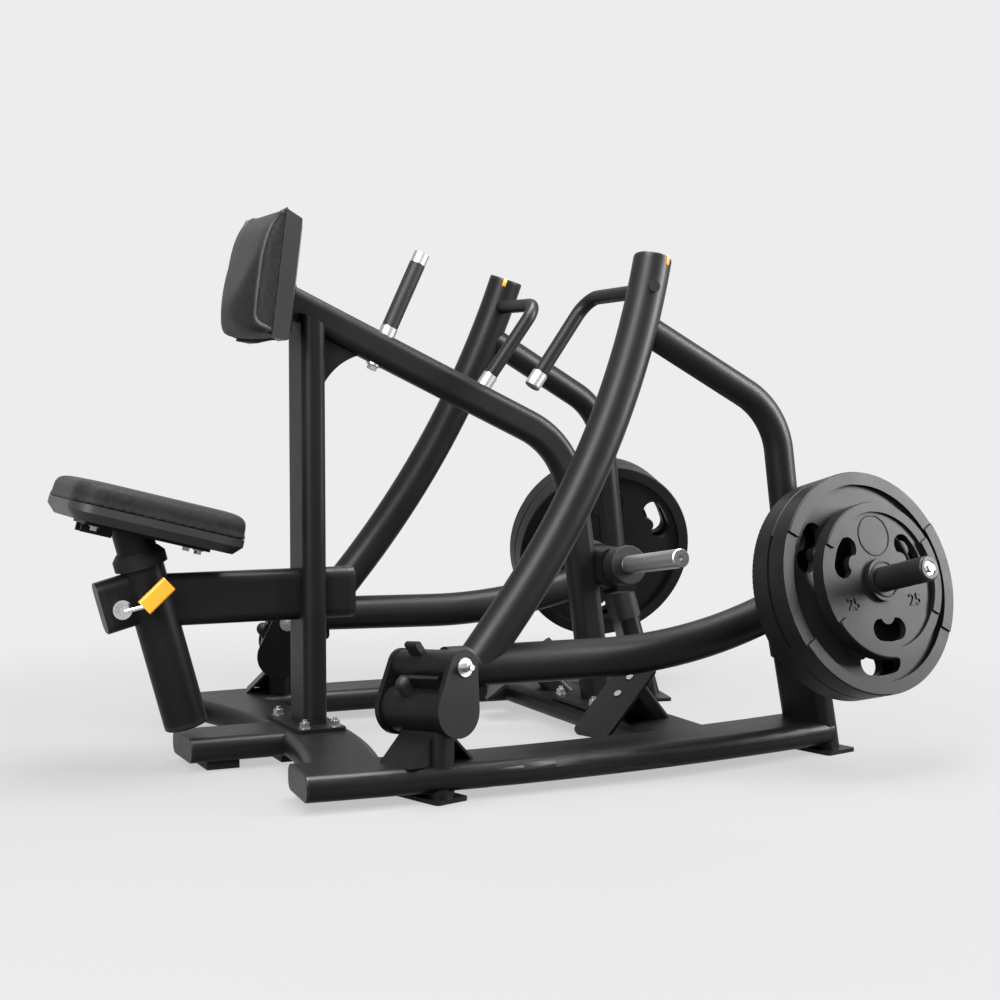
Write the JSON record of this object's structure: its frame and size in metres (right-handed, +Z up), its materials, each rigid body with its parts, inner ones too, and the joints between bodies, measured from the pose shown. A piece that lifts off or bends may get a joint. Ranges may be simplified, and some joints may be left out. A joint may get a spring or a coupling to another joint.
{
  "type": "plate-loaded seated row machine",
  "caption": "Chest-supported seated row and press station: tubular floor frame, sloping beam, pads, adjustable seat and two swinging lever arms loaded with weight plates.",
  "frame": {"origin": "middle of the machine's bounding box, on the floor", "axes": "+X along the machine from the seat to the weight plates, +Y to the left side of a seated user who faces +X, +Z up"},
  "size_m": [1.7034, 1.5116, 1.1158],
  "materials": {
    "frame_black": "satin powder coat",
    "cap_grey": "moulded, fine texture",
    "black_rubber": "matt",
    "zinc": "zinc plated",
    "pad_vinyl": "grained vinyl over foam",
    "pad_shell": "smooth moulded",
    "bare_aluminium": "satin anodised",
    "chrome_trim": "polished",
    "plate_black": "black enamel",
    "lever_orange": "moulded",
    "grip_black": "textured"
  },
  "bodies": {
    "frame": {"side_rails": "frame_black", "front_crossmember": "frame_black", "rear_crossmember": "frame_black", "centre_foot_rail": "frame_black", "tube_end_caps": "cap_grey", "rubber_feet": "black_rubber", "base_plates": "frame_black", "frame_bolts": "zinc", "front_post": "frame_black", "beam_gusset": "frame_black", "main_beam": "frame_black", "seat_beam": "frame_black", "seat_sleeve": "frame_black", "seat_collar": "black_rubber", "pin_bushing": "chrome_trim", "pivot_stands": "frame_black", "floor_pads": "frame_black", "pivot_housings": "frame_black", "pivot_shafts": "zinc", "stop_bumpers": "black_rubber", "rest_posts": "frame_black", "rest_caps": "black_rubber", "storage_mount": "frame_black", "storage_horns": "bare_aluminium", "storage_discs": "black_rubber", "foot_plates": "frame_black", "foot_legs": "frame_black", "assist_bar": "frame_black", "assist_grip": "grip_black", "assist_ferrules": "bare_aluminium", "chest_pad": "pad_vinyl", "chest_shell": "pad_shell", "chest_plate": "frame_black"},
    "right_arm": {"right_pivot_tube": "frame_black", "right_lower_tube": "frame_black", "right_lever": "frame_black", "right_upper_tube": "frame_black", "right_lever_cap": "cap_grey", "right_handle": "frame_black", "right_fittings": "bare_aluminium", "right_horn": "cap_grey"},
    "right_plates": {"right_big_plates": "plate_black", "right_small_plate": "plate_black"},
    "left_arm": {"left_pivot_tube": "frame_black", "left_lower_tube": "frame_black", "left_lever": "frame_black", "left_upper_tube": "frame_black", "left_lever_cap": "cap_grey", "left_handle": "frame_black", "left_fittings": "bare_aluminium", "left_horn": "cap_grey"},
    "left_plates": {"left_big_plates": "plate_black", "left_small_plate": "plate_black"},
    "seat": {"seat_pad": "pad_vinyl", "seat_shell": "pad_shell", "seat_bracket": "frame_black", "seat_post": "frame_black", "seat_bolts": "zinc"},
    "seat_lever": {"seat_lever_rod": "chrome_trim", "seat_lever_grip": "lever_orange"}
  },
  "joints": [
    {"name": "right_arm_swing", "type": "hinge", "parent": "frame", "child": "right_arm", "pos_m": [-0.24273, -0.43766, 0.2417], "axis": [0.3078, -0.9474, 0.0872], "range_deg": [0, 42]},
    {"name": "left_arm_swing", "type": "hinge", "parent": "frame", "child": "left_arm", "pos_m": [-0.24273, 0.43766, 0.2417], "axis": [-0.3078, -0.9474, -0.0872], "range_deg": [0, 42]},
    {"name": "right_plates_slide", "type": "slide", "parent": "right_arm", "child": "right_plates", "axis": [0.1435, -0.9565, 0.2541], "range_m": [0, 0.26]},
    {"name": "left_plates_slide", "type": "slide", "parent": "left_arm", "child": "left_plates", "axis": [0.1435, 0.9565, 0.2541], "range_m": [0, 0.26]},
    {"name": "seat_height", "type": "slide", "parent": "frame", "child": "seat", "axis": [-0.2614, 0, 0.9652], "range_m": [0, 0.1]},
    {"name": "seat_lever_turn", "type": "hinge", "parent": "frame", "child": "seat_lever", "pos_m": [-0.7307, -0.05, 0.328], "axis": [0, -1, 0], "range_deg": [0, 20], "stiffness_Nm_per_rad": 1.5}
  ]
}
